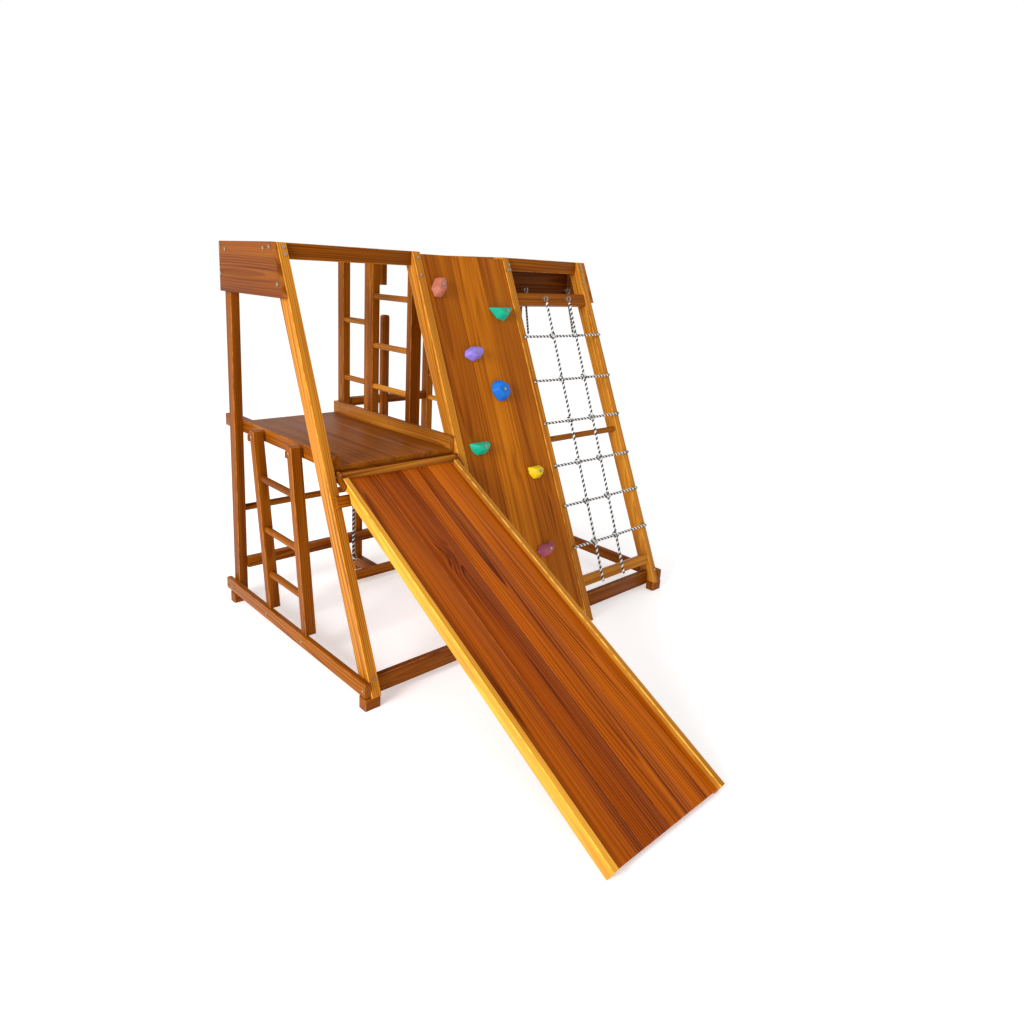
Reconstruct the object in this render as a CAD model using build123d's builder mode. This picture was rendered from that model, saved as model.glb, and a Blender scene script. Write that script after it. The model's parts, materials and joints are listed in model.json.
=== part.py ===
"""Indoor climbing frame with a toddler slide, in millimetres, +Z up.

The origin is on the floor, under the middle of the whole object.  +X runs along the
top rail, +Y runs from the slide to the back, and the slide's foot points to -Y.
"""
from math import atan2, cos, pi, sin, tan

from build123d import *
import os

os.makedirs("parts", exist_ok=True)

# ---------------------------------------------------------------- driving sizes
top_z = 1470.0              # overall height
post_w = 36.0               # width of a leg or post along X
leg_depth = 60.0            # depth of a slanted leg, square to its front face
board_t = 18.0              # end panels and wall boards
ease = 3.0                  # rounded long edges

frame_x = [-780.0, -216.0, 262.0, 744.0]     # left side of each of the four frames
inner_x = [x + post_w for x in frame_x]      # right side of each frame
right_x = inner_x[3]                         # outer side of the last leg

lean = atan2(0.4321, 1.0)   # slant of the front legs from the vertical
leg_foot_y = -129.0         # front face of the legs at the floor
outer_back_y = 946.0        # back of the two end frames
inner_back_y = 1070.0       # back of the platform and of the middle frames
post_d = 48.0               # depth of a back post

deck_z = 740.0              # walking surface of the platform
deck_t = 14.0
deck_front_y = 208.0
kerb_top_z = 788.0

pivot_y = 186.0             # hinge line of the slide
pivot_z = 708.0
slide_x0 = -728.0           # outer sides of the slide's rails
slide_x1 = -232.0
slide_foot_y = -1070.0
rail_h = 40.0
rail_t = 22.0
bed_drop = 18.0             # bed surface below the top of the rails
bed_t = 10.0

rope_d = 12.0


def front_y(z):
    """Front face of the slanted legs at height z."""
    return leg_foot_y + tan(lean) * z


def slope(z):
    """Distance up the legs' front face that reaches height z."""
    return z / cos(lean)


def face_plane(x, z, out=0.0):
    """Plane on the legs' front face: local x is +X, local y runs up the slope."""
    y = front_y(z)
    return Plane(
        origin=(x, y - out * cos(lean), z + out * sin(lean)),
        x_dir=(1, 0, 0),
        z_dir=(0, -cos(lean), sin(lean)),
    )


def timber_x(x0, x1, y0, y1, z0, z1, soft=ease):
    """Adds a timber that runs along X to the open part."""
    with BuildSketch(Plane.YZ.offset(x0)) as section:
        with Locations(((y0 + y1) / 2, (z0 + z1) / 2)):
            RectangleRounded(y1 - y0, z1 - z0, soft)
    extrude(section.sketch, amount=x1 - x0)


def timber_y(x0, x1, y0, y1, z0, z1, soft=ease):
    """Adds a timber that runs along Y to the open part."""
    with BuildSketch(Plane.XZ.offset(-y1)) as section:
        with Locations(((x0 + x1) / 2, (z0 + z1) / 2)):
            RectangleRounded(x1 - x0, z1 - z0, soft)
    extrude(section.sketch, amount=y1 - y0)


def timber_z(x0, x1, y0, y1, z0, z1, soft=ease):
    """Adds an upright timber to the open part."""
    with BuildSketch(Plane.XY.offset(z0)) as section:
        with Locations(((x0 + x1) / 2, (y0 + y1) / 2)):
            RectangleRounded(x1 - x0, y1 - y0, soft)
    extrude(section.sketch, amount=z1 - z0)


def rod_between(start, end, radius):
    """Adds a round bar from one point to another to the open part."""
    run = Vector(*end) - Vector(*start)
    with BuildSketch(Plane(origin=start, z_dir=tuple(run))) as section:
        Circle(radius)
    extrude(section.sketch, amount=run.length)


def save(part, name):
    part.label = name
    export_step(part, f"parts/{name}.step")


# ---------------------------------------------------------------- slanted front legs
mid_out = -leg_depth / 2
leg_names = ["leg_1", "leg_2", "leg_3", "leg_4"]
for name, x in zip(leg_names, frame_x):
    axis_start = face_plane(x + post_w / 2, -60.0, mid_out).origin
    with BuildPart() as leg:
        leg_plane = Plane(origin=axis_start, x_dir=(1, 0, 0), z_dir=(0, sin(lean), cos(lean)))
        with BuildSketch(leg_plane):
            RectangleRounded(post_w, leg_depth, ease)
        extrude(amount=slope(top_z + 160.0))
        split(bisect_by=Plane.XY.offset(top_z), keep=Keep.BOTTOM)
        split(bisect_by=Plane.XY.offset(42.0 if name in ("leg_1", "leg_4") else 0.0), keep=Keep.TOP)
        # blind holes that hold the slide's hinge pins
        if name == "leg_1":
            with BuildSketch(Plane.YZ.offset(x + post_w)):
                with Locations((pivot_y, pivot_z)):
                    Circle(4.0)
            extrude(amount=-20.0, mode=Mode.SUBTRACT)
        if name == "leg_2":
            with BuildSketch(Plane.YZ.offset(x)):
                with Locations((pivot_y, pivot_z)):
                    Circle(4.0)
            extrude(amount=20.0, mode=Mode.SUBTRACT)
    save(leg.part, name)

# ---------------------------------------------------------------- foot blocks
foot_h = 41.7
foot_d = 40.0
side_t = 22.0
feet_at = [
    (frame_x[0] - side_t, leg_foot_y + 24.0),
    (frame_x[0] - side_t, outer_back_y - 46.0),
    (frame_x[3], leg_foot_y + 24.0),
    (frame_x[3], outer_back_y - 46.0),
]
with BuildPart() as feet:
    for x, y in feet_at:
        timber_z(x, x + post_w + side_t, y, y + foot_d, 0.0, foot_h)
save(feet.part, "feet")

# ---------------------------------------------------------------- posts
with BuildPart() as back_posts:
    for x in (frame_x[0], frame_x[3]):
        timber_z(x, x + post_w, outer_back_y - post_d, outer_back_y, 42.0, top_z)
save(back_posts.part, "back_posts")

with BuildPart() as lower_post:
    timber_z(frame_x[1], inner_x[1], outer_back_y - 36.0, outer_back_y, 0.0, 699.7)
save(lower_post.part, "lower_post")

with BuildPart() as inner_posts:
    timber_z(frame_x[2], inner_x[2], inner_back_y - post_d, inner_back_y, 0.0, top_z)
    timber_z(frame_x[2], inner_x[2], 780.0, 818.0, 0.0, top_z - 40.3)
save(inner_posts.part, "inner_posts")

# ---------------------------------------------------------------- long rails along X
rail_front_y = leg_foot_y + 62.0
top_rail_y = front_y(top_z) + 6.0
with BuildPart() as top_rails_front:
    for a, b in ((inner_x[0], frame_x[1]), (inner_x[2], frame_x[3])):
        timber_x(a, b, top_rail_y, top_rail_y + 24.0, top_z - 56.0, top_z)
save(top_rails_front.part, "top_rails_front")

with BuildPart() as bottom_rails_front:
    for a, b in zip(inner_x[:3], frame_x[1:]):
        timber_x(a, b, rail_front_y, rail_front_y + 24.0, 24.0, 88.0)
save(bottom_rails_front.part, "bottom_rails_front")

with BuildPart() as top_rail_back:
    timber_x(inner_x[0], frame_x[3], outer_back_y - 36.0, outer_back_y - 12.0, top_z - 40.0, top_z)
save(top_rail_back.part, "top_rail_back")

with BuildPart() as back_rails_low:
    timber_x(inner_x[0], 60.0, outer_back_y - 61.0, outer_back_y - 36.5, 150.0, 196.0)
    timber_x(-345.0, inner_x[2], 755.7, 779.7, 22.0, 64.0)
    timber_y(frame_x[1], inner_x[1], 780.0, outer_back_y - 36.3, 22.0, 64.0)
    timber_x(inner_x[2] + 0.3, frame_x[3], outer_back_y - 61.0, outer_back_y - 36.5, 45.0, 93.0)
    timber_y(frame_x[2], inner_x[2], 818.3, inner_back_y - post_d - 0.3, 45.0, 93.0)
save(back_rails_low.part, "back_rails_low")

with BuildPart() as back_bar:
    rod_between((inner_x[0], outer_back_y - 18.0, 402.0), (frame_x[1], outer_back_y - 18.0, 402.0), 14.0)
save(back_bar.part, "back_bar")

# ---------------------------------------------------------------- end panels and side rails
panel_bottom = top_z - 186.0
for name, x in (("end_panel_left", frame_x[0] - board_t), ("end_panel_right", right_x)):
    with BuildPart() as panel:
        with BuildSketch(Plane.YZ.offset(x)) as outline:
            with BuildLine():
                Polyline(
                    (front_y(panel_bottom) + 1.0, panel_bottom),
                    (outer_back_y, panel_bottom),
                    (outer_back_y, top_z),
                    (front_y(top_z) + 1.0, top_z),
                    close=True,
                )
            make_face()
            fillet(outline.vertices(), 4.0)
        extrude(amount=board_t)
    save(panel.part, name)

for name, x in (("side_rail_left", frame_x[0] - side_t), ("side_rail_right", right_x)):
    with BuildPart() as side_rail:
        timber_y(x, x + side_t, leg_foot_y + 27.0, outer_back_y + 28.0, 45.0, 93.0)
    save(side_rail.part, name)

# ---------------------------------------------------------------- platform
beam_x1 = inner_x[0] + post_w
with BuildPart() as deck_beam:
    timber_y(inner_x[0], beam_x1, deck_front_y, inner_back_y, 727.0, 777.0)
save(deck_beam.part, "deck_beam")

kerb_x0 = frame_x[1] - 22.0
with BuildPart() as deck_kerb:
    with BuildSketch(Plane.YZ.offset(kerb_x0)) as kerb_outline:
        with BuildLine():
            Polyline(
                (deck_front_y, 726.0),
                (inner_back_y, 726.0),
                (inner_back_y, kerb_top_z),
                (deck_front_y, kerb_top_z),
                close=True,
            )
        make_face()
        front_top = kerb_outline.vertices().sort_by(Axis.Y)[:2].sort_by(Axis.Z)[-1]
        fillet(front_top, 14.0)
    extrude(amount=21.7)
save(deck_kerb.part, "deck_kerb")

plank_count = 4
deck_x0 = beam_x1 + 0.5
plank_w = (kerb_x0 - 0.5 - deck_x0) / plank_count
with BuildPart() as deck_planks:
    for i in range(plank_count):
        x = deck_x0 + i * plank_w
        timber_y(x, x + plank_w - 0.8, deck_front_y, inner_back_y - 20.0, deck_z - deck_t, deck_z, 1.5)
save(deck_planks.part, "deck_planks")

with BuildPart() as deck_bearers:
    for y in (deck_front_y + 2.0, 520.0, 840.0):
        timber_x(inner_x[0], kerb_x0 + 21.7, y, y + 24.0, 700.0, 725.7)
save(deck_bearers.part, "deck_bearers")

# ---------------------------------------------------------------- rung wall on the platform's right
wall_x = frame_x[1]
post_c_y = 504.0
post_b_y = 784.0
post_a_y = inner_back_y - post_d
rung_post_top = top_z - 40.3
with BuildPart() as rung_posts:
    timber_z(wall_x, wall_x + post_w, post_a_y, inner_back_y, 726.0, rung_post_top)
    timber_z(wall_x, wall_x + post_w, post_b_y, post_b_y + 38.0, 726.0, rung_post_top)
    timber_z(wall_x - 1.0, wall_x + 24.0, post_b_y + 39.0, post_b_y + 65.0, kerb_top_z + 0.3, rung_post_top)
save(rung_posts.part, "rung_posts")

# the front post is cut to the slope of the leg it stands behind
with BuildPart() as rung_post_front:
    timber_z(wall_x, wall_x + 52.0, post_c_y, post_c_y + 32.0, 726.0, rung_post_top)
    leg_back = face_plane(wall_x, 1300.0, -leg_depth - 0.3)
    split(bisect_by=leg_back, keep=Keep.BOTTOM)
save(rung_post_front.part, "rung_post_front")

with BuildPart() as wall_rungs:
    for z in (903.0, 1165.0):
        rod_between((wall_x + 16.0, post_b_y + 65.0, z), (wall_x + 16.0, post_a_y, z), 12.5)
    for z in (895.0, 1073.0, 1280.0):
        rod_between((wall_x + 16.0, post_c_y + 32.0, z), (wall_x + 16.0, post_b_y, z), 12.5)
    for z in (773.0, 886.0, 1014.0, 1150.0):
        rod_between((frame_x[2] + 18.0, 818.0, z), (frame_x[2] + 18.0, inner_back_y - post_d, z), 12.5)
save(wall_rungs.part, "wall_rungs")

with BuildPart() as cross_rails_top:
    for x in (frame_x[1], frame_x[2]):
        timber_y(x, x + post_w, top_rail_y + 62.0, outer_back_y - 36.3, top_z - 40.0, top_z)
        timber_y(x, x + post_w, outer_back_y - 11.7, inner_back_y - (0.0 if x == frame_x[1] else 48.3),
                 top_z - 40.0, top_z)
save(cross_rails_top.part, "cross_rails_top")

# ---------------------------------------------------------------- back of the climbing bay
rear_y = inner_back_y - 40.0
with BuildPart() as rear_rails:
    timber_x(inner_x[1] + 0.3, frame_x[2] - 0.3, rear_y, rear_y + 36.0, 764.0, 802.0)
    timber_x(inner_x[1] + 0.3, -30.3, rear_y, rear_y + 24.0, top_z - 40.0, top_z)
    timber_x(20.3, frame_x[2] - 0.3, rear_y, rear_y + 24.0, top_z - 40.0, top_z)
save(rear_rails.part, "rear_rails")

with BuildPart() as rear_posts:
    with BuildSketch(Plane.XZ.offset(-(rear_y - 24.3))) as stub_outline:
        with BuildLine():
            Polyline((-16.0, 520.0), (20.0, 520.0), (20.0, 1185.0), (-16.0, 1185.0), close=True)
        make_face()
        fillet(stub_outline.vertices().group_by(Axis.Z)[-1], 12.0)
    extrude(amount=-24.0)
    timber_z(-30.0, 20.0, rear_y, rear_y + 24.0, 1321.0, top_z)
save(rear_posts.part, "rear_posts")

# ---------------------------------------------------------------- side ladder
stile_d = 34.0
stile_x0 = frame_x[0] - 14.0
stile_x1 = frame_x[0] + 28.0
rail_top = 93.3
stile_top = 772.0
stile_spots = {"front": (304.0, 400.0), "back": (585.0, 700.0)}
with BuildPart() as ladder_stiles:
    for y_foot, y_head in stile_spots.values():
        with BuildSketch(Plane.YZ.offset(stile_x0)):
            with BuildLine():
                Polyline(
                    (y_foot, rail_top),
                    (y_foot + stile_d, rail_top),
                    (y_head + stile_d, stile_top),
                    (y_head, stile_top),
                    close=True,
                )
            make_face()
        extrude(amount=stile_x1 - stile_x0)
    long_edges = ladder_stiles.edges().filter_by(lambda e: 680.0 < e.length < 700.0)
    chamfer(long_edges, 2.0)
save(ladder_stiles.part, "ladder_stiles")

# the rungs are cut off along the slanted faces of the two stiles
front_face = Plane(
    origin=(0, stile_spots["front"][0] + stile_d + 0.1, rail_top),
    x_dir=(1, 0, 0),
    z_dir=(0, stile_top - rail_top, stile_spots["front"][0] - stile_spots["front"][1]),
)
back_face = Plane(
    origin=(0, stile_spots["back"][0] - 0.1, rail_top),
    x_dir=(1, 0, 0),
    z_dir=(0, stile_top - rail_top, stile_spots["back"][0] - stile_spots["back"][1]),
)
with BuildPart() as ladder_rungs:
    for z in (224.0, 397.0, 593.0):
        rod_between((frame_x[0] + 7.0, 310.0, z), (frame_x[0] + 7.0, 720.0, z), 13.0)
    split(bisect_by=front_face, keep=Keep.TOP)
    split(bisect_by=back_face, keep=Keep.BOTTOM)
save(ladder_rungs.part, "ladder_rungs")

with BuildPart() as ladder_packers:
    for y_head in (400.0, 700.0):
        with BuildSketch(Plane.YZ.offset(stile_x1)):
            with Locations((y_head + 16.0, 752.0)):
                RectangleRounded(30.0, 36.0, 3.0)
        extrude(amount=inner_x[0] - stile_x1)
save(ladder_packers.part, "ladder_packers")

# ---------------------------------------------------------------- support bar under the slide
bar_mid_z = 634.5
with BuildPart() as support_bar:
    bar_plane = face_plane((frame_x[0] + inner_x[1]) / 2 + 4.0, bar_mid_z)
    with BuildSketch(bar_plane):
        RectangleRounded(inner_x[1] - frame_x[0] - 14.0, 40.0, 4.0)
    extrude(amount=22.0)
save(support_bar.part, "support_bar")

# ---------------------------------------------------------------- slide
foot_top_z = 36.0
slide_tilt = 0.0
for step in range(6):
    foot_top_z = rail_h * cos(slide_tilt)
    slide_tilt = atan2(pivot_z + 16.0 - foot_top_z, pivot_y - slide_foot_y)


def slide_point(along, down):
    """Point in the YZ plane, measured up the rail's top line and down square to it."""
    y = slide_foot_y + along * cos(slide_tilt) + down * sin(slide_tilt)
    z = foot_top_z + along * sin(slide_tilt) - down * cos(slide_tilt)
    return (y, z)


top_along = (pivot_y - 26.0 - slide_foot_y) / cos(slide_tilt)
bed_along = (pivot_y - 18.9 - slide_foot_y) / cos(slide_tilt)
notch_z = 664.0
notch_y = 119.0
cross = (notch_y - slide_foot_y) / cos(slide_tilt)
for name, x in (("slide_rail_left", slide_x0), ("slide_rail_right", slide_x1 - rail_t)):
    with BuildPart() as slide_rail:
        with BuildSketch(Plane.YZ.offset(x)):
            with BuildLine():
                Polyline(
                    slide_point(0.0, 0.0),
                    slide_point(top_along, 0.0),
                    (pivot_y - 26.0, pivot_z - 12.0),
                    (pivot_y - 26.0, pivot_z - 34.0),
                    (notch_y + 8.0, notch_z),
                    (notch_y, notch_z),
                    (notch_y - 9.0, notch_z - 19.0),
                    slide_point(cross - 34.0, rail_h),
                    slide_point(0.0, rail_h),
                    close=True,
                )
            make_face()
        extrude(amount=rail_t)
        fillet(slide_rail.edges().filter_by(lambda e: e.length > 1100.0).group_by(Axis.Z)[-1], 4.0)
    save(slide_rail.part, name)

bed_plank_count = 4
bed_x0 = slide_x0 + rail_t + 0.3
bed_w = (slide_x1 - slide_x0 - 2 * rail_t - 0.6) / bed_plank_count
with BuildPart() as slide_bed:
    for i in range(bed_plank_count):
        with BuildSketch(Plane.YZ.offset(bed_x0 + i * bed_w)):
            with BuildLine():
                Polyline(
                    slide_point(2.0, bed_drop),
                    slide_point(bed_along, bed_drop),
                    slide_point(bed_along, bed_drop + bed_t),
                    slide_point(2.0, bed_drop + bed_t),
                    close=True,
                )
            make_face()
        extrude(amount=bed_w - 0.3)
save(slide_bed.part, "slide_bed")

with BuildPart() as slide_battens:
    for along in (60.0, 480.0, 960.0):
        with BuildSketch(Plane.YZ.offset(bed_x0)):
            with BuildLine():
                Polyline(
                    slide_point(along, bed_drop + bed_t + 0.2),
                    slide_point(along + 40.0, bed_drop + bed_t + 0.2),
                    slide_point(along + 40.0, rail_h - 0.5),
                    slide_point(along, rail_h - 0.5),
                    close=True,
                )
            make_face()
        extrude(amount=slide_x1 - slide_x0 - 2 * rail_t - 0.6)
save(slide_battens.part, "slide_battens")

with BuildPart() as slide_crossbar:
    with BuildSketch(Plane.YZ.offset(slide_x0 + 0.0)):
        with Locations((pivot_y, pivot_z)):
            Circle(14.0)
    extrude(amount=slide_x1 - slide_x0)
    for x, way in ((slide_x0, 1.0), (slide_x1, -1.0)):
        with BuildSketch(Plane.YZ.offset(x)):
            with Locations((pivot_y, pivot_z)):
                Circle(4.05)
        extrude(amount=24.0 * way, mode=Mode.SUBTRACT)
save(slide_crossbar.part, "slide_crossbar")

plate_t = 9.0
with BuildPart() as slide_hooks:
    for x in (slide_x0 - plate_t, slide_x1):
        with BuildSketch(Plane.YZ.offset(x)):
            with Locations((pivot_y, pivot_z)):
                Circle(19.0)
            with BuildLine():
                Polyline(
                    (pivot_y - 4.0, pivot_z + 18.0),
                    slide_point(top_along - 34.0, 4.0),
                    slide_point(top_along - 34.0, 24.0),
                    (pivot_y - 4.0, pivot_z - 18.0),
                    close=True,
                )
            make_face()
            with Locations((pivot_y, pivot_z)):
                Circle(4.05, mode=Mode.SUBTRACT)
        extrude(amount=plate_t)
save(slide_hooks.part, "slide_hooks")

with BuildPart() as slide_pins:
    with BuildSketch(Plane.YZ.offset(inner_x[0] - 18.0)):
        with Locations((pivot_y, pivot_z)):
            Circle(4.0)
    extrude(amount=slide_x0 + 22.0 - (inner_x[0] - 18.0))
    with BuildSketch(Plane.YZ.offset(slide_x1 - 22.0)):
        with Locations((pivot_y, pivot_z)):
            Circle(4.0)
    extrude(amount=frame_x[1] + 18.0 - (slide_x1 - 22.0))
save(slide_pins.part, "slide_pins")

# ---------------------------------------------------------------- climbing wall
board_count = 3
board_w = (frame_x[2] - inner_x[1] - 0.6) / board_count
wall_low_z = 62.0
wall_high_z = top_z - 2.0
with BuildPart() as wall_boards:
    for i in range(board_count):
        x = inner_x[1] + 0.3 + (i + 0.5) * board_w
        board_plane = face_plane(x, (wall_low_z + wall_high_z) / 2, -4.0)
        with BuildSketch(board_plane):
            RectangleRounded(board_w - 0.6, slope(wall_high_z - wall_low_z) - 10.0, 2.0)
        extrude(amount=-board_t)
save(wall_boards.part, "wall_boards")

with BuildPart() as wall_battens:
    for z in (200.0, 700.0, 1160.0):
        batten_plane = face_plane((inner_x[1] + frame_x[2]) / 2, z, -4.0 - board_t - 0.3)
        with BuildSketch(batten_plane):
            Rectangle(frame_x[2] - inner_x[1] - 2.0, 60.0)
        extrude(amount=-20.0)
save(wall_battens.part, "wall_battens")

# holds: place on the wall, corners about that place, corner radius, thickness, turn
hold_shapes = {
    "hold_pink": [
        (
            -129.0, 1337.0,
            [(-40, -6), (-30, -42), (4, -48), (34, -20), (44, 22), (26, 46), (-6, 40)],
            9.0, 38.0, 0,
        ),
    ],
    "holds_teal": [
        (182.0, 1236.0, [(-76, 30), (-36, -24), (2, -36), (44, -4), (70, 30)], 6.0, 40.0, 0),
        (-102.0, 730.0, [(-52, 26), (-46, -8), (-24, -30), (24, -28), (48, -2), (50, 26)], 6.0, 38.0, 0),
    ],
    "hold_lavender": [
        (
            -26.0, 1080.0,
            [(-52, 2), (-22, -30), (30, -28), (54, -6), (46, 22), (4, 34), (-38, 26)],
            8.0, 34.0, 14,
        ),
    ],
    "hold_blue": [
        (
            70.0, 931.0,
            [(-46, 8), (-26, -40), (20, -46), (48, -18), (46, 22), (14, 50), (-26, 44)],
            10.0, 36.0, 8,
        ),
    ],
    "hold_yellow": [
        (163.0, 605.0, [(-40, 28), (-38, -6), (-20, -30), (16, -30), (36, -8), (38, 28)], 5.0, 36.0, 0),
    ],
    "hold_magenta": [
        (
            117.0, 315.0,
            [(-50, 6), (-26, -28), (14, -32), (44, -10), (48, 28), (20, 16), (-22, 30)],
            5.0, 36.0, 10,
        ),
    ],
}
wall_face = -4.0
for name, shapes in hold_shapes.items():
    with BuildPart() as hold:
        for x, z, corners, corner_r, depth, turn in shapes:
            with BuildSketch(face_plane(x, z, wall_face + 0.2)) as hold_outline:
                with Locations(Rot(0, 0, turn)):
                    Polygon(*corners, align=None)
                fillet(hold_outline.vertices(), corner_r)
            extrude(amount=depth, taper=24)
    save(hold.part, name)

with BuildPart() as hold_bolts:
    for shapes in hold_shapes.values():
        for x, z, corners, corner_r, depth, turn in shapes:
            with BuildSketch(face_plane(x, z, wall_face + 0.2 + depth + 0.1)):
                Circle(6.5)
            extrude(amount=4.0)
save(hold_bolts.part, "hold_bolts")

# ---------------------------------------------------------------- net bay
net_x0 = inner_x[2]
net_x1 = frame_x[3]
with BuildPart() as net_top_bar:
    with BuildSketch(face_plane((net_x0 + net_x1) / 2, 1300.0, -6.0)):
        RectangleRounded(net_x1 - net_x0, 54.0, 3.0)
    extrude(amount=-24.0)
save(net_top_bar.part, "net_top_bar")

rear_board_y = 560.0
with BuildPart() as net_rear_board:
    timber_x(net_x0, net_x1, rear_board_y, rear_board_y + 18.0, 1290.0, top_z)
save(net_rear_board.part, "net_rear_board")

with BuildPart() as net_middle_bar:
    with BuildSketch(Plane.YZ.offset(net_x0)):
        with Locations((front_y(712.0) + 26.0, 712.0)):
            Circle(13.0)
    extrude(amount=net_x1 - net_x0)
save(net_middle_bar.part, "net_middle_bar")

with BuildPart() as net_bottom_bar:
    with BuildSketch(face_plane((net_x0 + net_x1) / 2, 150.0, -6.0)):
        RectangleRounded(net_x1 - net_x0, 42.0, 9.0)
    extrude(amount=-34.0)
save(net_bottom_bar.part, "net_bottom_bar")

# ropes held taut: six run across the net over the legs, two run down it
across_z = [1138.0, 955.0, 783.0, 611.0, 452.0, 288.0]
rope_r = rope_d / 2
across_out = rope_r + 0.4
with BuildPart() as ropes_across:
    for z in across_z:
        start = face_plane(frame_x[2] + 16.0, z, across_out).origin
        end = face_plane(right_x - 4.0, z, across_out).origin
        rod_between(tuple(start), tuple(end), rope_r)
save(ropes_across.part, "ropes_across")

hook_x = [452.0, 602.0]
down_low_x = [391.0, 532.0]
down_out = across_out + 2 * rope_r + 0.3
with BuildPart() as ropes_down:
    for x_top, x_low in zip(hook_x, down_low_x):
        start = face_plane(x_top, 1276.0, down_out).origin
        end = face_plane(x_low, 130.0, down_out).origin
        rod_between(tuple(start), tuple(end), rope_r)
save(ropes_down.part, "ropes_down")

stay_x = [443.0, 729.0]
stay_low_x = [314.0, 602.0]
hook_z = 1338.0
with BuildPart() as rope_stays:
    for x_top, x_low in zip(stay_x, stay_low_x):
        end = face_plane(x_low, across_z[0] + 16.0, -4.0).origin
        rod_between((x_top, rear_board_y - 24.0, hook_z - 34.0), tuple(end), rope_r - 1.0)
save(rope_stays.part, "rope_stays")

# bent straps that hold the cross ropes on the legs
strap_t = 1.8


def half_octagon(reach, centre):
    """Corners of an upright half octagon that clears a circle of that radius."""
    short = reach * tan(pi / 8)
    left = [(-reach, centre + short), (-short, centre + reach)]
    right = [(short, centre + reach), (reach, centre + short)]
    return left + right


inner_reach = rope_r + 0.2
outer_reach = inner_reach + strap_t
strap_corners = [
    (-inner_reach, 0.2),
    *half_octagon(inner_reach, across_out),
    (inner_reach, 0.2),
    (outer_reach, 0.2),
    *reversed(half_octagon(outer_reach, across_out)),
    (-outer_reach, 0.2),
]
with BuildPart() as rope_staples:
    for z in across_z:
        for x in (frame_x[2] + 21.0, right_x - 14.0):
            spot = face_plane(x - 3.0, z)
            with BuildSketch(Plane(origin=spot.origin, x_dir=(0, sin(lean), cos(lean)), z_dir=(1, 0, 0))):
                with BuildLine():
                    Polyline(*strap_corners, close=True)
                make_face()
            extrude(amount=6.0)
save(rope_staples.part, "rope_staples")

# ---------------------------------------------------------------- rope hooks
drop_x = -320.0
drop_y = 760.0
drop_top = 692.0
drop_low = 150.0


def ring_at(x, y, z):
    """Adds an upright ring that faces along X to the open part."""
    with BuildSketch(Plane.YZ.offset(x - 2.5)) as section:
        with Locations((y, z)):
            Circle(13.0)
            Circle(8.0, mode=Mode.SUBTRACT)
    extrude(section.sketch, amount=5.0)


with BuildPart() as rope_hooks:
    for x in hook_x:
        shank = face_plane(x, 1300.0, -5.9)
        with BuildSketch(shank):
            Circle(4.0)
        extrude(amount=14.0)
        ring = face_plane(x, 1295.0, 18.0).origin
        ring_at(x, ring.Y, ring.Z)
    for x in stay_x:
        with BuildSketch(Plane.XZ.offset(-rear_board_y)):
            with Locations((x, hook_z)):
                Circle(4.0)
        extrude(amount=14.0)
        ring_at(x, rear_board_y - 24.0, hook_z - 5.0)
    with BuildSketch(Plane.XY.offset(deck_z - deck_t - 14.0)):
        with Locations((drop_x, drop_y)):
            Circle(4.0)
    extrude(amount=13.8)
    ring_at(drop_x, drop_y, deck_z - deck_t - 23.0)
save(rope_hooks.part, "rope_hooks")

# rope that hangs free under the platform
with BuildPart() as drop_rope:
    rod_between((drop_x, drop_y, drop_low), (drop_x, drop_y, drop_top - 2.5), rope_r)
save(drop_rope.part, "drop_rope")

with BuildPart() as drop_knot:
    with BuildSketch(Plane.XZ.offset(-drop_y)):
        with BuildLine():
            Polyline(
                (drop_x, drop_low - 0.2),
                (drop_x + 8.0, drop_low - 2.0),
                (drop_x + 12.0, drop_low - 12.0),
                (drop_x + 12.0, drop_low - 28.0),
                (drop_x + 8.0, drop_low - 38.0),
                (drop_x, drop_low - 40.0),
                close=True,
            )
        make_face()
    revolve(axis=Axis((drop_x, drop_y, 0), (0, 0, 1)))
save(drop_knot.part, "drop_knot")

# ---------------------------------------------------------------- fasteners
outer_left = frame_x[0] - board_t
panel_spots = [
    (outer_back_y - 12.0, 1448.0), (outer_back_y - 60.0, 1440.0), (outer_back_y - 14.0, 1350.0),
    (565.0, 1448.0), (520.0, 1452.0), (462.0, 1330.0),
]
leg_spots = [
    (frame_x[0] + 20.0, 1452.0), (frame_x[0] + 20.0, 1428.0),
    (frame_x[1] + 20.0, 1446.0), (frame_x[1] + 14.0, 1380.0),
    (frame_x[2] + 12.0, 1416.0), (frame_x[2] + 26.0, 1440.0), (frame_x[2] + 26.0, 1420.0),
    (frame_x[3] + 20.0, 1452.0), (frame_x[3] + 24.0, 1432.0), (frame_x[3] + 8.0, 1378.0),
    (frame_x[0] + 20.0, 96.0), (frame_x[3] + 20.0, 96.0),
]
with BuildPart() as frame_bolts:
    for side, way in ((outer_left, -1.0), (right_x + board_t, 1.0)):
        for y, z in panel_spots:
            with BuildSketch(Plane.YZ.offset(side + 0.1 * way)):
                with Locations((y, z)):
                    Circle(6.5)
            extrude(amount=3.5 * way)
    for x, z in leg_spots:
        with BuildSketch(face_plane(x, z, 0.1)):
            Circle(6.0)
        extrude(amount=3.5)
save(frame_bolts.part, "frame_bolts")

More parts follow.
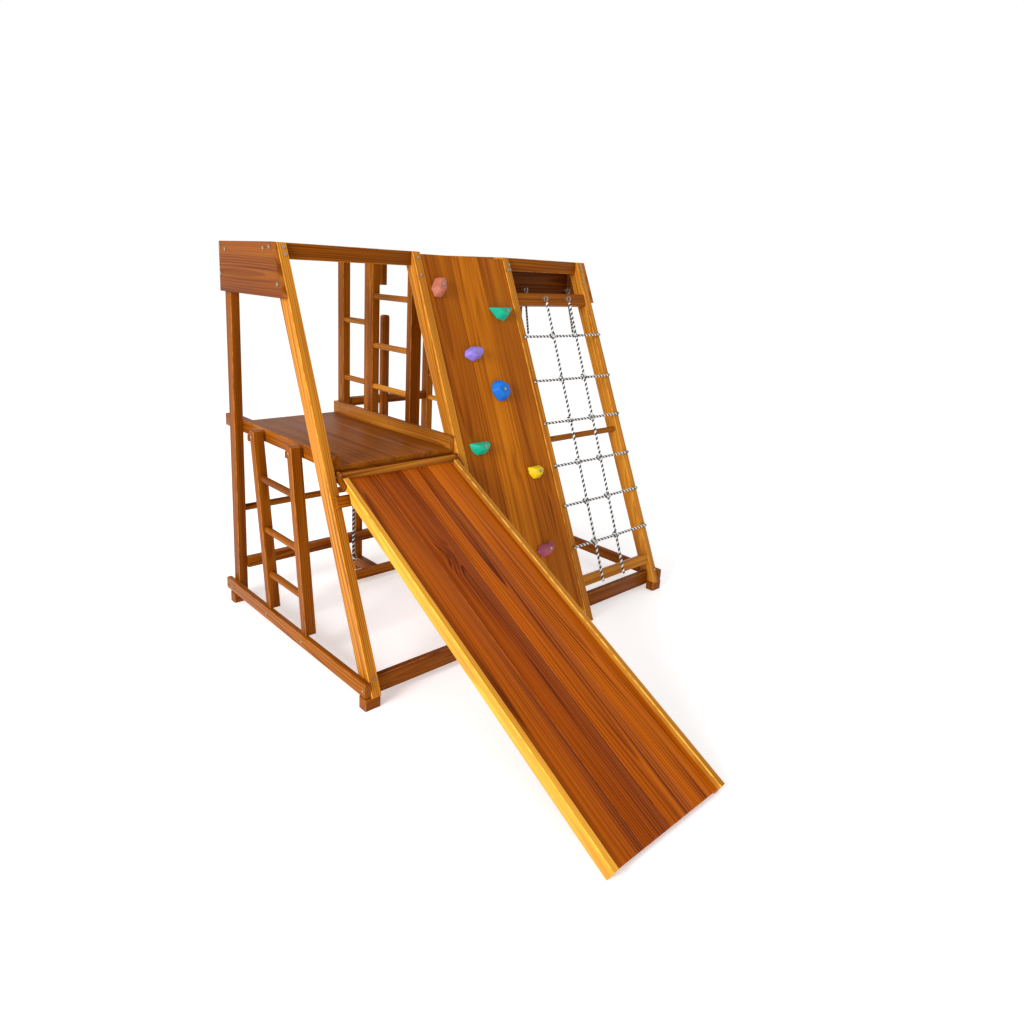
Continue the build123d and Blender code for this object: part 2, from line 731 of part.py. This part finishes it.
with BuildPart() as small_screws:
    for side, way in ((frame_x[0] - side_t, -1.0), (right_x + side_t, 1.0)):
        for y in (-90.0, 322.0, 603.0, 920.0):
            with BuildSketch(Plane.YZ.offset(side + 0.1 * way)):
                with Locations((y, 69.0)):
                    Circle(4.5)
            extrude(amount=2.0 * way)
    for y in (300.0, 620.0, 940.0):
        with BuildSketch(Plane.YZ.offset(kerb_x0 - 0.1)):
            with Locations((y, 764.0)):
                Circle(4.0)
        extrude(amount=-2.0)
    for y in (400.0, 700.0):
        with BuildSketch(Plane.YZ.offset(stile_x0 - 0.1)):
            with Locations((y + 14.0, 750.0)):
                Circle(5.0)
        extrude(amount=-2.5)
save(small_screws.part, "small_screws")
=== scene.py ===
"""Wooden indoor climbing frame with a toddler slide: camera, ropes, timber and light."""
import json
import math
import random

import bmesh
import bpy
from mathutils import Matrix, Vector


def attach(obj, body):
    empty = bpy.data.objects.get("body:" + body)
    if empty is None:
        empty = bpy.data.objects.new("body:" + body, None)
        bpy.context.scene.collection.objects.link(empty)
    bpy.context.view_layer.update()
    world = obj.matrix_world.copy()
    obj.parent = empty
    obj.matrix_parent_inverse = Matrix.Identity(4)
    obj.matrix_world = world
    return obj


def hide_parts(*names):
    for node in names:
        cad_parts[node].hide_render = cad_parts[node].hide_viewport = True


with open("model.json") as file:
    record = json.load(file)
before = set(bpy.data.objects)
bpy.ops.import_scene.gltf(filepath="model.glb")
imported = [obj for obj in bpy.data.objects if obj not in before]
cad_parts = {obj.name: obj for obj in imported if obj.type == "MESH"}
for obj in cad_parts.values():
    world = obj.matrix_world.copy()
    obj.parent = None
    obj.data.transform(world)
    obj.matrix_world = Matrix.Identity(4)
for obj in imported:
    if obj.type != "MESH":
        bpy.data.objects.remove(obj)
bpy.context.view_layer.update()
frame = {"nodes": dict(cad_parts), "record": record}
nodes = frame["nodes"]
rng = random.Random(7)
scene = bpy.context.scene
scene.view_settings.view_transform = "Standard"

# ------------------------------------------------------------------ camera
AZ, PITCH, ROLL = math.radians(43.81), math.radians(12.81), math.radians(2.99)
fwd = Vector((math.sin(AZ) * math.cos(PITCH), math.cos(AZ) * math.cos(PITCH), -math.sin(PITCH)))
level = fwd.cross(Vector((0, 0, 1))).normalized()
rise = level.cross(fwd)
right = math.cos(ROLL) * level + math.sin(ROLL) * rise
up = -math.sin(ROLL) * level + math.cos(ROLL) * rise
cam_data = bpy.data.cameras.new("camera")
cam_data.sensor_width = 36.0
cam_data.lens = 25.96
cam_data.shift_x = 0.0005
cam_data.shift_y = -0.0705
cam_data.clip_start = 0.05
cam_data.clip_end = 100.0
camera = bpy.data.objects.new("camera", cam_data)
scene.collection.objects.link(camera)
turn = Matrix((right, up, -fwd)).transposed().to_4x4()
camera.matrix_world = Matrix.Translation((-1.9679, -1.9346, 1.4115)) @ turn
scene.camera = camera

# ------------------------------------------------------------------ sizes shared with the CAD
LEAN = math.atan(0.4321)
LEG_FOOT = -0.129
UP_SLOPE = Vector((0, math.sin(LEAN), math.cos(LEAN)))
OUTWARD = Vector((0, -math.cos(LEAN), math.sin(LEAN)))
ROPE_R = 0.006
ACROSS_Z = [1.138, 0.955, 0.783, 0.611, 0.452, 0.288]
ACROSS_OUT = 0.0064
DOWN_OUT = 0.0187
HOOK_X = [0.452, 0.602]
DOWN_LOW_X = [0.391, 0.532]
STAY_X = [0.443, 0.729]
STAY_LOW_X = [0.314, 0.602]
REAR_BOARD_Y = 0.560


def face(x, z, out=0.0):
    """Point on the slanted legs' front face."""
    return Vector((x, LEG_FOOT + math.tan(LEAN) * z, z)) + OUTWARD * out


# ------------------------------------------------------------------ shader helpers
class Shader:
    """A principled material with short calls for its nodes."""

    def __init__(self, name):
        self.mat = bpy.data.materials.new(name)
        self.mat.use_nodes = True
        self.tree = self.mat.node_tree
        self.bsdf = self.tree.nodes["Principled BSDF"]

    def put(self, socket, value):
        if hasattr(value, "node"):
            self.tree.links.new(value, socket)
        else:
            socket.default_value = value

    def math(self, op, a, b=0.0, c=0.0, clamp=False):
        n = self.tree.nodes.new("ShaderNodeMath")
        n.operation = op
        n.use_clamp = clamp
        self.put(n.inputs[0], a)
        self.put(n.inputs[1], b)
        self.put(n.inputs[2], c)
        return n.outputs[0]

    def vec(self, op, a, b=(0.0, 0.0, 0.0)):
        n = self.tree.nodes.new("ShaderNodeVectorMath")
        n.operation = op
        self.put(n.inputs[0], a)
        self.put(n.inputs[1], b)
        return n.outputs["Value"] if op in ("LENGTH", "DOT_PRODUCT") else n.outputs[0]

    def attr(self, name, out="Fac"):
        n = self.tree.nodes.new("ShaderNodeAttribute")
        n.attribute_name = name
        return n.outputs[out]

    def place(self):
        return self.tree.nodes.new("ShaderNodeTexCoord").outputs["Object"]

    def noise(self, where, scale, detail=2.0, rough=0.5, out="Fac", distortion=0.0):
        n = self.tree.nodes.new("ShaderNodeTexNoise")
        self.put(n.inputs["Vector"], where)
        n.inputs["Scale"].default_value = scale
        n.inputs["Detail"].default_value = detail
        n.inputs["Roughness"].default_value = rough
        n.inputs["Distortion"].default_value = distortion
        return n.outputs[out]

    def voronoi(self, where, scale):
        n = self.tree.nodes.new("ShaderNodeTexVoronoi")
        self.put(n.inputs["Vector"], where)
        n.inputs["Scale"].default_value = scale
        return n.outputs["Distance"], n.outputs["Color"]

    def spread(self, value, lo, hi, to_lo=0.0, to_hi=1.0):
        n = self.tree.nodes.new("ShaderNodeMapRange")
        n.interpolation_type = "SMOOTHSTEP"
        self.put(n.inputs["Value"], value)
        n.inputs["From Min"].default_value = lo
        n.inputs["From Max"].default_value = hi
        n.inputs["To Min"].default_value = to_lo
        n.inputs["To Max"].default_value = to_hi
        return n.outputs["Result"]

    def ramp(self, value, stops):
        n = self.tree.nodes.new("ShaderNodeValToRGB")
        self.put(n.inputs["Fac"], value)
        ramp = n.color_ramp
        while len(ramp.elements) < len(stops):
            ramp.elements.new(0.5)
        for element, (at, colour) in zip(ramp.elements, stops):
            element.position = at
            element.color = (*colour, 1.0)
        return n.outputs["Color"]

    def mix(self, share, a, b, blend="MIX"):
        n = self.tree.nodes.new("ShaderNodeMix")
        n.data_type = "RGBA"
        n.blend_type = blend
        self.put(n.inputs[0], share)
        self.put(n.inputs[6], a if hasattr(a, "node") else (*a, 1.0))
        self.put(n.inputs[7], b if hasattr(b, "node") else (*b, 1.0))
        return n.outputs[2]

    def grade(self, colour, hue=0.5, sat=1.0, value=1.0):
        n = self.tree.nodes.new("ShaderNodeHueSaturation")
        self.put(n.inputs["Hue"], hue)
        self.put(n.inputs["Saturation"], sat)
        self.put(n.inputs["Value"], value)
        self.put(n.inputs["Color"], colour)
        return n.outputs["Color"]

    def bump(self, height, strength, distance):
        n = self.tree.nodes.new("ShaderNodeBump")
        n.inputs["Strength"].default_value = strength
        n.inputs["Distance"].default_value = distance
        self.put(n.inputs["Height"], height)
        self.put(self.bsdf.inputs["Normal"], n.outputs["Normal"])

    def set(self, **values):
        for key, value in values.items():
            self.put(self.bsdf.inputs[key.replace("_", " ")], value)


def wood(name, dark, mid, light, gloss=0.34, spacing=0.0075, rings=0.55, knots=0.72, heart=0.03, coat=0.0):
    """Stained and varnished softwood.  Its grain follows the timber's own length."""
    s = Shader(name)
    grain = s.attr("grain", "Vector")
    tone = s.attr("tone")
    edge = s.attr("edge")
    # the tree's heart wanders along the board, which draws the arches in the grain
    along = s.vec("MULTIPLY", grain, (0.0, 0.0, 1.0))
    wander = s.vec("SUBTRACT", s.noise(along, 0.9, 1.0, out="Color"), (0.5, 0.5, 0.5))
    slow = s.vec("SUBTRACT", s.noise(s.vec("MULTIPLY", grain, (1.0, 1.0, 0.05)), 8.0, 2.0, out="Color"), (0.5, 0.5, 0.5))
    bent = s.vec("ADD", grain, s.vec("MULTIPLY", wander, (0.05, 0.06, 0.0)))
    bent = s.vec("ADD", bent, s.vec("MULTIPLY", slow, (0.016, 0.016, 0.0)))
    radius = s.vec("LENGTH", s.vec("MULTIPLY", s.vec("ADD", bent, (0.0, heart, 0.0)), (1.0, 1.0, 0.0)))
    # knots, thinned out by their cell's colour
    near, cell = s.voronoi(s.vec("MULTIPLY", grain, (1.0, 0.5, 0.42)), 7.0)
    pick = s.spread(s.vec("DOT_PRODUCT", cell, (1.0, 0.0, 0.0)), knots, knots + 0.04)
    knot = s.math("MULTIPLY", s.spread(near, 0.02, 0.065, 1.0, 0.0), pick)
    swirl = s.math("MULTIPLY", s.spread(near, 0.0, 0.30, 1.0, 0.0), pick)
    phase = s.math("ADD", s.math("MULTIPLY", radius, 1.0 / spacing), s.math("MULTIPLY", swirl, 2.2))
    saw = s.math("FRACT", phase)
    ring = s.math("MULTIPLY", s.spread(saw, 0.15, 0.84), s.spread(saw, 0.86, 1.0, 1.0, 0.0))
    strength = s.spread(s.noise(s.vec("MULTIPLY", grain, (1.0, 1.0, 0.10)), 14.0, 2.0), 0.3, 0.7, 0.45, 1.0)
    ring = s.math("MULTIPLY", ring, strength)
    streak = s.noise(s.vec("MULTIPLY", grain, (1.0, 1.0, 0.012)), 85.0, 2.0, 0.5)
    band = s.noise(s.vec("MULTIPLY", grain, (1.0, 1.0, 0.035)), 22.0, 2.0, 0.5)
    cloud = s.noise(s.vec("MULTIPLY", grain, (1.0, 1.0, 0.25)), 6.0, 1.0, 0.5)
    fine = s.noise(s.vec("MULTIPLY", grain, (1.0, 1.0, 0.012)), 420.0, 1.0, 0.5)
    value = s.math("MULTIPLY", ring, -rings)
    value = s.math("ADD", value, s.math("MULTIPLY", s.math("SUBTRACT", streak, 0.5), 0.95))
    value = s.math("ADD", value, s.math("MULTIPLY", s.math("SUBTRACT", band, 0.5), 0.85))
    value = s.math("ADD", value, s.math("MULTIPLY", s.math("SUBTRACT", cloud, 0.5), 0.40))
    value = s.math("ADD", value, 0.5 + rings * 0.36, clamp=True)
    colour = s.ramp(value, [(0.05, dark), (0.50, mid), (0.95, light)])
    halo = s.math("MULTIPLY", swirl, 0.35)
    colour = s.mix(halo, colour, dark)
    colour = s.mix(s.math("MULTIPLY", knot, 0.8), colour, tuple(0.3 * c for c in dark))
    colour = s.grade(
        colour,
        hue=s.math("ADD", 0.497, s.math("MULTIPLY", tone, 0.008)),
        value=s.math("ADD", 0.74, s.math("MULTIPLY", tone, 0.52)),
    )
    worn = s.math("MULTIPLY", edge, s.spread(s.noise(grain, 26.0, 4.0), 0.34, 0.62, 0.10, 0.70))
    colour = s.mix(worn, colour, tuple(min(0.95, 1.5 * c + 0.02) for c in light))
    rough = s.math("ADD", gloss, s.math("MULTIPLY", s.noise(s.vec("MULTIPLY", grain, (1.0, 1.0, 0.06)), 30.0, 2.0), 0.16))
    rough = s.math("ADD", rough, s.math("MULTIPLY", fine, 0.08))
    s.set(Base_Color=colour, Roughness=rough)
    s.bsdf.inputs["Specular IOR Level"].default_value = 0.16
    s.bsdf.inputs["Specular Tint"].default_value = (1.0, 0.55, 0.22, 1.0)
    s.bsdf.inputs["Coat Weight"].default_value = coat
    s.bsdf.inputs["Coat Roughness"].default_value = 0.25
    height = s.math("ADD", s.math("MULTIPLY", streak, 0.5), s.math("MULTIPLY", fine, 0.3))
    height = s.math("ADD", height, s.math("MULTIPLY", ring, 0.25))
    height = s.math("SUBTRACT", height, s.math("MULTIPLY", knot, 0.4))
    s.bump(height, 0.25, 0.0005)
    return s.mat


def metal(name, colour, rough=0.3):
    """Plated steel with fine scratches and a few dull spots."""
    s = Shader(name)
    where = s.place()
    spots = s.noise(where, 160.0, 4.0, 0.6)
    fine = s.noise(where, 1400.0, 2.0, 0.6)
    tint = s.mix(s.spread(spots, 0.55, 0.75), colour, tuple(0.45 * c for c in colour))
    s.set(Base_Color=tint, Roughness=s.math("ADD", rough, s.math("MULTIPLY", spots, 0.22)))
    s.bsdf.inputs["Metallic"].default_value = 0.92
    s.bump(fine, 0.25, 0.0002)
    return s.mat


def yarn(name, colour, fleck):
    """Braided polyester: soft fibres that lie along the strand."""
    s = Shader(name)
    where = s.place()
    hair = s.noise(where, 1500.0, 3.0, 0.7)
    soil = s.noise(where, 60.0, 3.0)
    tint = s.mix(s.spread(hair, 0.52, 0.70), colour, fleck)
    tint = s.mix(s.math("MULTIPLY", s.spread(soil, 0.5, 0.8), 0.20), tint, (0.30, 0.26, 0.20))
    s.set(Base_Color=tint, Roughness=0.88)
    s.bsdf.inputs["Sheen Weight"].default_value = 0.25
    s.bump(hair, 0.6, 0.0006)
    return s.mat


def resin(name, colour):
    """Moulded climbing hold: fine sandy skin, slightly mottled and scuffed."""
    s = Shader(name)
    where = s.place()
    mottle = s.noise(where, 28.0, 4.0, 0.6)
    sand = s.noise(where, 900.0, 3.0, 0.7)
    scuff = s.noise(where, 90.0, 5.0, 0.7)
    tint = s.mix(s.spread(mottle, 0.35, 0.7, 0.0, 0.5), colour, tuple(0.72 * c for c in colour))
    tint = s.mix(s.spread(scuff, 0.64, 0.78, 0.0, 0.22), tint, tuple(0.5 * c + 0.42 for c in colour))
    s.set(Base_Color=tint, Roughness=s.math("ADD", 0.36, s.math("MULTIPLY", scuff, 0.28)))
    s.bsdf.inputs["Specular IOR Level"].default_value = 0.3
    s.bump(sand, 0.35, 0.0005)
    return s.mat


FRAME_WOOD = wood("wood_frame", (0.168, 0.0396, 0.00308), (0.4, 0.132, 0.011), (0.58, 0.231, 0.022), rings=0.45)
DARK_WOOD = wood("wood_dark", (0.0903, 0.0156, 0.000504), (0.215, 0.052, 0.0018), (0.3117, 0.091, 0.0036), rings=0.45)
# a darker copy of the dark stain: painted shade for the rear net board, which sits in shadow
PAINTED_SHADE_WOOD = wood("wood_painted_shade", (0.0315, 0.0042, 0.000336), (0.075, 0.014, 0.0012), (0.1087, 0.0245, 0.0024))
RAIL_WOOD = wood("wood_rail", (0.265, 0.082, 0.007), (0.53, 0.205, 0.02), (0.7155, 0.328, 0.036), rings=0.30, knots=0.90)
SLIDE_WOOD = wood(
    "wood_slide", (0.0975, 0.01102, 0.00018), (0.325, 0.058, 0.0012), (0.455, 0.0957, 0.00216),
    gloss=0.26, spacing=0.0085, rings=0.55, knots=0.66, heart=0.022, coat=0.02,
)
WALL_WOOD = wood(
    "wood_wall", (0.1617, 0.0294, 0.000728), (0.385, 0.098, 0.0026), (0.5198, 0.1568, 0.00468),
    spacing=0.011, rings=0.26, knots=0.90, heart=0.05,
)
STEEL = metal("plated_steel", (0.42, 0.37, 0.31), 0.32)
YARN_WHITE = yarn("yarn_white", (0.80, 0.79, 0.76), (0.50, 0.50, 0.50))
YARN_BLACK = yarn("yarn_black", (0.012, 0.012, 0.014), (0.05, 0.05, 0.055))


# ------------------------------------------------------------------ ropes
def link(name, mesh, node, body, smooth_angle=32.0):
    """Puts a finished mesh in the scene in place of a CAD node."""
    obj = bpy.data.objects.new(name, mesh)
    scene.collection.objects.link(obj)
    for p in mesh.polygons:
        p.use_smooth = True
    mesh.set_sharp_from_angle(angle=math.radians(smooth_angle))
    if node:
        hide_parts(*([node] if isinstance(node, str) else node))
    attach(obj, body)
    return obj


def strands(points, radius, pitch=0.021, turn0=0.0, black=(2, 3)):
    """Four twisted strands along a line of points: vertices, faces and material numbers."""
    length = [0.0]
    for a, b in zip(points, points[1:]):
        length.append(length[-1] + (b - a).length)
    total = length[-1]
    steps = max(4, int(total / pitch * 9))
    spots = []
    k = 0
    for i in range(steps + 1):
        d = total * i / steps
        while k < len(points) - 2 and length[k + 1] < d:
            k += 1
        span = max(1e-9, length[k + 1] - length[k])
        t = (d - length[k]) / span
        spots.append((points[k].lerp(points[k + 1], t), d))
    tangents = []
    for i in range(len(spots)):
        a = spots[max(0, i - 1)][0]
        b = spots[min(len(spots) - 1, i + 1)][0]
        tangents.append((b - a).normalized())
    first = tangents[0]
    side = first.cross(Vector((0.31, 0.77, 0.55))).normalized()
    verts, faces, mats = [], [], []
    sides = []
    for t in tangents:
        side = (side - t * side.dot(t)).normalized()
        sides.append(side.copy())
    ring = 6
    strand_r = radius * 0.46
    for s in range(4):
        base = len(verts)
        for (p, d), t, u in zip(spots, tangents, sides):
            w = t.cross(u)
            a = turn0 + 2 * math.pi * (d / pitch + s / 4)
            out = u * math.cos(a) + w * math.sin(a)
            tang = w * math.cos(a) - u * math.sin(a)
            c = p + out * (radius - strand_r)
            lean = (t + tang * (2 * math.pi * (radius - strand_r) / pitch)).normalized()
            sidew = lean.cross(out)
            for j in range(ring):
                b = 2 * math.pi * j / ring
                verts.append(c + (out * math.cos(b) + sidew * math.sin(b)) * strand_r)
        n = len(spots)
        for i in range(n - 1):
            for j in range(ring):
                a0 = base + i * ring + j
                a1 = base + i * ring + (j + 1) % ring
                faces.append((a0, a1, a1 + ring, a0 + ring))
                mats.append(int(s in black))
        faces.append(tuple(base + j for j in reversed(range(ring))))
        faces.append(tuple(base + (n - 1) * ring + j for j in range(ring)))
        mats += [int(s in black)] * 2
    return verts, faces, mats


def rope_mesh(name, runs, radius=ROPE_R, pitch=0.021, black=(2, 3)):
    """One mesh of twisted rope for several lines of points."""
    verts, faces, mats = [], [], []
    for i, points in enumerate(runs):
        v, f, m = strands([Vector(p) for p in points], radius, pitch, i * 1.3, black)
        base = len(verts)
        verts += v
        faces += [tuple(base + k for k in face_) for face_ in f]
        mats += m
    mesh = bpy.data.meshes.new(name)
    mesh.from_pydata([tuple(v) for v in verts], [], faces)
    mesh.materials.append(YARN_WHITE)
    mesh.materials.append(YARN_BLACK)
    for p, m in zip(mesh.polygons, mats):
        p.material_index = m
    return mesh


def hitch(centre, axis, lift, radius=0.0092):
    """A turn of rope round another rope."""
    axis = axis.normalized()
    lift = (lift - axis * lift.dot(axis)).normalized()
    side = axis.cross(lift)
    points = []
    for i in range(19):
        a = 2 * math.pi * (i / 18 * 1.25)
        slide_by = (i / 18 - 0.5) * 0.013
        points.append(centre + axis * slide_by + (lift * math.cos(a) + side * math.sin(a)) * radius)
    return points


# ------------------------------------------------------------------ the free rope under the platform
DROP_X, DROP_Y = -0.320, 0.760
drop_points = [
    (DROP_X, DROP_Y, 0.6895),
    (DROP_X, DROP_Y, 0.6175),
    (DROP_X, DROP_Y, 0.220),
    (DROP_X, DROP_Y, 0.150),
]
drop_curve = bpy.data.curves.new("drop_route", "CURVE")
drop_curve.dimensions = "3D"
spline = drop_curve.splines.new("NURBS")
spline.points.add(len(drop_points) - 1)
for p, co in zip(spline.points, drop_points):
    p.co = (*co, 1.0)
spline.order_u = 3
spline.use_endpoint_u = True
drop_route = bpy.data.objects.new("drop_route", drop_curve)
read = bpy.data.meshes.new_from_object(drop_route)
drop_line = [v.co.copy() for v in read.vertices]
bpy.data.meshes.remove(read)
bpy.data.objects.remove(drop_route)
bpy.data.curves.remove(drop_curve)
# three of four strands black, darker than the net ropes' two: painted shade for the rope hanging in shadow under the
# platform
drop_obj = link(
    "v_drop_rope", rope_mesh("drop_rope", [drop_line], ROPE_R, 0.021, (1, 2, 3)),
    "drop_rope", "frame", 70.0,
)
# its knot has the same three black strands, painted shade as well
knot_obj = link("v_drop_knot", rope_mesh("drop_knot", [
    hitch(Vector((DROP_X, DROP_Y, 0.138)), Vector((0.35, 0, 1)), Vector((1, 0, 0)), 0.0105),
    hitch(Vector((DROP_X, DROP_Y, 0.128)), Vector((-0.3, 0.3, 1)), Vector((0, 1, 0)), 0.0105),
    [(DROP_X, DROP_Y, 0.150), (DROP_X + 0.001, DROP_Y + 0.001, 0.112)],
], 0.0055, 0.021, (1, 2, 3)), "drop_knot", "frame", 70.0)

# ------------------------------------------------------------------ timber from the CAD solids
def islands(bm):
    """Groups the faces of a mesh by solid."""
    seen = set()
    groups = []
    for start in bm.faces:
        if start in seen:
            continue
        seen.add(start)
        stack = [start]
        group = []
        while stack:
            f = stack.pop()
            group.append(f)
            for e in f.edges:
                for g in e.link_faces:
                    if g not in seen:
                        seen.add(g)
                        stack.append(g)
        groups.append(group)
    return groups


def timber(node, body="frame", material=None, bevel=0.0016):
    """Rebuilds a node's solids as timber, with worn edges and grain along each one's length."""
    bm = bmesh.new()
    bm.from_mesh(nodes[node].data)
    bmesh.ops.remove_doubles(bm, verts=bm.verts, dist=1e-5)
    bmesh.ops.dissolve_limit(bm, angle_limit=math.radians(0.6), verts=bm.verts, edges=bm.edges)
    edge_layer = bm.faces.layers.float.new("edge")
    grain_layer = bm.verts.layers.float_vector.new("grain")
    tone_layer = bm.faces.layers.float.new("tone")
    axes = []
    groups = islands(bm)
    for group in groups:
        edges = {e for f in group for e in f.edges}
        longest = max(edges, key=lambda e: e.calc_length())
        along = (longest.verts[1].co - longest.verts[0].co).normalized()
        largest = max(group, key=lambda f: f.calc_area())
        normal = largest.normal.copy()
        normal = (normal - along * normal.dot(along)).normalized()
        across = normal.cross(along)
        verts = {v for f in group for v in f.verts}
        centre = sum((v.co for v in verts), Vector()) / len(verts)
        shift = Vector((rng.uniform(-0.03, 0.03), rng.uniform(-0.01, 0.03), rng.uniform(-9, 9)))
        tilt = rng.uniform(-0.015, 0.015)
        tone = rng.random()
        area = max(f.calc_area() for f in group)
        for v in verts:
            p = v.co - centre
            z = p.dot(along)
            v[grain_layer] = Vector((p.dot(across) + tilt * z, p.dot(normal) + tilt * z, z)) + shift
        for f in group:
            f[tone_layer] = tone
            facing = max(abs(f.normal.dot(a)) for a in (along, across, normal))
            f[edge_layer] = 1.0 if facing < 0.985 and f.calc_area() < 0.25 * area else 0.0
        axes.append(tone)
    if bevel:
        # hard corners between large faces get a small worn round
        hard = [
            e for e in bm.edges
            if len(e.link_faces) == 2
            and e.calc_face_angle(0.0) > math.radians(50)
            and e.calc_length() > 0.012
            and min(f.calc_area() for f in e.link_faces) > 1.5e-4
        ]
        rounded = []
        if hard:
            rounded = bmesh.ops.bevel(bm, geom=hard, offset=bevel, segments=2, profile=0.5,
                                      affect="EDGES", clamp_overlap=True)["faces"]
        for f in rounded:
            f[edge_layer] = 1.0
        # the bevel's faces take their solid's tone
        for group in islands(bm):
            tone = max(f[tone_layer] for f in group)
            for f in group:
                f[tone_layer] = tone
    mesh = bpy.data.meshes.new("timber_" + node)
    bm.to_mesh(mesh)
    bm.free()
    mesh.materials.append(material or FRAME_WOOD)
    return link("v_" + node, mesh, node, body)


WOOD_NODES = [n for n in nodes if frame["record"] and any(
    p["node"] == n and p["material_slot"] in ("wood", "slide_wood") for p in frame["record"]["subparts"]
)]
PALE = {"leg_1", "leg_2", "leg_3", "leg_4", "deck_kerb", "net_bottom_bar", "slide_crossbar", "wall_rungs"}
ROUND = {"wall_rungs", "ladder_rungs", "back_bar", "slide_crossbar", "net_middle_bar"}
for node in sorted(WOOD_NODES):
    body = "slide" if node.startswith("slide_") else "frame"
    if node == "slide_bed":
        timber(node, body, SLIDE_WOOD, 0.0008)
    elif node in ("slide_rail_left", "slide_rail_right"):
        timber(node, body, RAIL_WOOD, 0.0016)
    elif node == "wall_boards":
        timber(node, body, WALL_WOOD, 0.0012)
    elif node == "net_rear_board":
        # painted shade: the rear net board gets the darker copy of the stain
        timber(node, body, PAINTED_SHADE_WOOD, 0.0016)
    else:
        stain = FRAME_WOOD if node in PALE else DARK_WOOD
        timber(node, body, stain, 0.0 if node in ROUND else 0.0016)


# ------------------------------------------------------------------ climbing holds
HOLD_COLOURS = {
    "hold_pink": (0.46, 0.14, 0.085),
    "holds_teal": (0.001, 0.42, 0.25),
    "hold_lavender": (0.27, 0.19, 0.66),
    "hold_blue": (0.001, 0.155, 0.62),
    "hold_yellow": (0.76, 0.52, 0.003),
    "hold_magenta": (0.42, 0.10, 0.16),
}
for node, colour in HOLD_COLOURS.items():
    mesh = nodes[node].data.copy()
    mesh.name = "hold_mesh_" + node
    mesh.materials.clear()
    mesh.materials.append(resin("resin_" + node, colour))
    hold = link("v_" + node, mesh, node, "frame", 60.0)
    remesh = hold.modifiers.new("remesh", "REMESH")
    remesh.mode = "VOXEL"
    remesh.voxel_size = 0.0025
    remesh.use_smooth_shade = True
    smooth = hold.modifiers.new("smooth", "SMOOTH")
    smooth.factor = 0.8
    smooth.iterations = 26

# ------------------------------------------------------------------ metal
for node in ("frame_bolts", "small_screws", "hold_bolts", "rope_hooks", "rope_staples", "slide_pins"):
    mesh = nodes[node].data.copy()
    mesh.materials.clear()
    mesh.materials.append(STEEL)
    link("v_" + node, mesh, node, "frame", 40.0)


# ------------------------------------------------------------------ taut ropes of the net
def crossing(i, z):
    """Where a rope that runs down crosses a rope that runs across."""
    share = (1.276 - z) / (1.276 - 0.130)
    x = HOOK_X[i] + (DOWN_LOW_X[i] - HOOK_X[i]) * share
    return face(x, z, DOWN_OUT)


ACROSS = Vector((1, 0, 0))
across_runs = []
for z in ACROSS_Z:
    across_runs.append([face(0.278, z, ACROSS_OUT), face(0.520, z - 0.002, ACROSS_OUT), face(0.776, z, ACROSS_OUT)])
link("v_ropes_across", rope_mesh("ropes_across", across_runs), "ropes_across", "frame", 70.0)

down_runs = []
for i in range(2):
    down_runs.append([face(HOOK_X[i], 1.276, DOWN_OUT), face(DOWN_LOW_X[i], 0.130, DOWN_OUT)])
link("v_ropes_down", rope_mesh("ropes_down", down_runs), "ropes_down", "frame", 70.0)

knot_runs = []
for i in range(2):
    for z in ACROSS_Z:
        c = crossing(i, z) - OUTWARD * 0.006
        knot_runs.append(hitch(c, ACROSS + UP_SLOPE * 0.5, OUTWARD, 0.0125))
knots = link("net_knots", rope_mesh("net_knots", knot_runs, 0.0045, 0.026), None, "frame", 70.0)

# the stays get three of four strands black, darker than the net ropes' two: painted shade for ropes running in shadow
# behind the net
stay_runs = []
for x0, x1 in zip(STAY_X, STAY_LOW_X):
    top = Vector((x0, REAR_BOARD_Y - 0.024, 1.304))
    stay_runs.append([top, face(x1, ACROSS_Z[0] + 0.016, -0.004)])
link("v_rope_stays", rope_mesh("rope_stays", stay_runs, 0.005, 0.021, (1, 2, 3)), "rope_stays", "frame", 70.0)

# ------------------------------------------------------------------ floor and light
floor_mesh = bpy.data.meshes.new("floor")
floor_mesh.from_pydata([(-60, -60, 0), (60, -60, 0), (60, 60, 0), (-60, 60, 0)], [], [(0, 1, 2, 3)])
floor = bpy.data.objects.new("floor", floor_mesh)
scene.collection.objects.link(floor)
fs = Shader("floor_white")
pale = fs.mix(fs.noise(fs.place(), 2.0, 3.0), (0.93, 0.93, 0.93), (0.95, 0.95, 0.95))
fs.set(Base_Color=pale, Roughness=0.8, Emission_Color=pale)
fs.bsdf.inputs["Emission Strength"].default_value = 0.34
fs.bsdf.inputs["Specular IOR Level"].default_value = 0.0
floor_mesh.materials.append(fs.mat)

# a white room that is seen brighter than it lights
world = bpy.data.worlds.new("world")
scene.world = world
world.use_nodes = True
wt = world.node_tree
back = wt.nodes["Background"]
back.inputs["Color"].default_value = (1.0, 1.0, 1.0, 1.0)
seen = wt.nodes.new("ShaderNodeMapRange")
seen.inputs["To Min"].default_value = 0.75
seen.inputs["To Max"].default_value = 1.0
wt.links.new(wt.nodes.new("ShaderNodeLightPath").outputs["Is Camera Ray"], seen.inputs["Value"])
wt.links.new(seen.outputs["Result"], back.inputs["Strength"])


def area(name, place, target, size, power):
    data = bpy.data.lights.new(name, "AREA")
    data.size = size
    data.energy = power
    lamp = bpy.data.objects.new(name, data)
    scene.collection.objects.link(lamp)
    lamp.location = place
    lamp.rotation_euler = (Vector(target) - Vector(place)).to_track_quat("-Z", "Y").to_euler()
    return lamp


area("key", (-5.8, -0.9, 2.7), (0.0, 0.0, 0.6), 2.4, 320.0)
